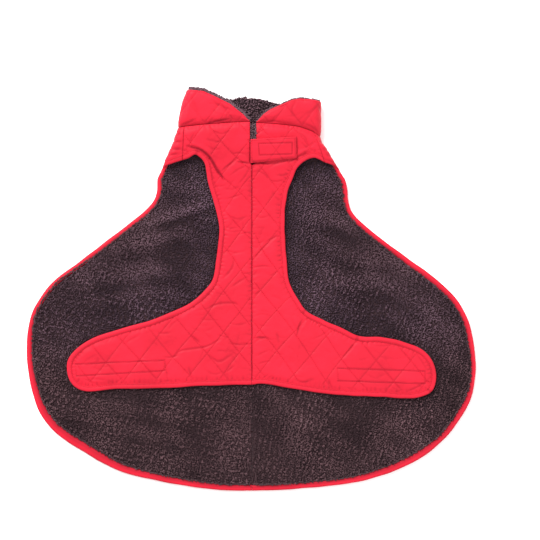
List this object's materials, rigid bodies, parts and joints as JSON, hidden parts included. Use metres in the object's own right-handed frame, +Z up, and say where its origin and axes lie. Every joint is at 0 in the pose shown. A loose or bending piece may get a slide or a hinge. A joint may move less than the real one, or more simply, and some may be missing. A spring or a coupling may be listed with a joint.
{
  "type": "dog winter coat",
  "caption": "Dog's winter coat laid flat on its back: quilted red shell, dark pile lining, high collar, and a chest piece with two belly wings.",
  "frame": {"origin": "middle of the coat's bounding box, on the surface that it lies on", "axes": "+X across the coat, to the right in the picture; +Y from the hem to the collar; +Z up, off the surface"},
  "size_m": [0.6728, 0.6036, 0.0284],
  "materials": {
    "shell": "quilted woven nylon, soft sheen",
    "binding": "folded woven tape, stitched",
    "pile": "curly pile fleece, matt",
    "tape": "woven hook tape, matt"
  },
  "bodies": {
    "root": {"back_shell_left": "shell", "back_shell_right": "shell", "chest_left": "shell", "chest_right": "shell", "collar_left": "shell", "collar_right": "shell", "neck_tab": "shell", "back_binding_left": "binding", "back_binding_right": "binding", "chest_binding_left": "binding", "chest_binding_right": "binding", "back_lining_left": "pile", "back_lining_right": "pile", "collar_lining_left": "pile", "collar_lining_right": "pile", "placket": "pile", "wing_tape_left": "tape", "wing_tape_right": "tape", "neck_tab_tape": "tape"}
  },
  "joints": []
}
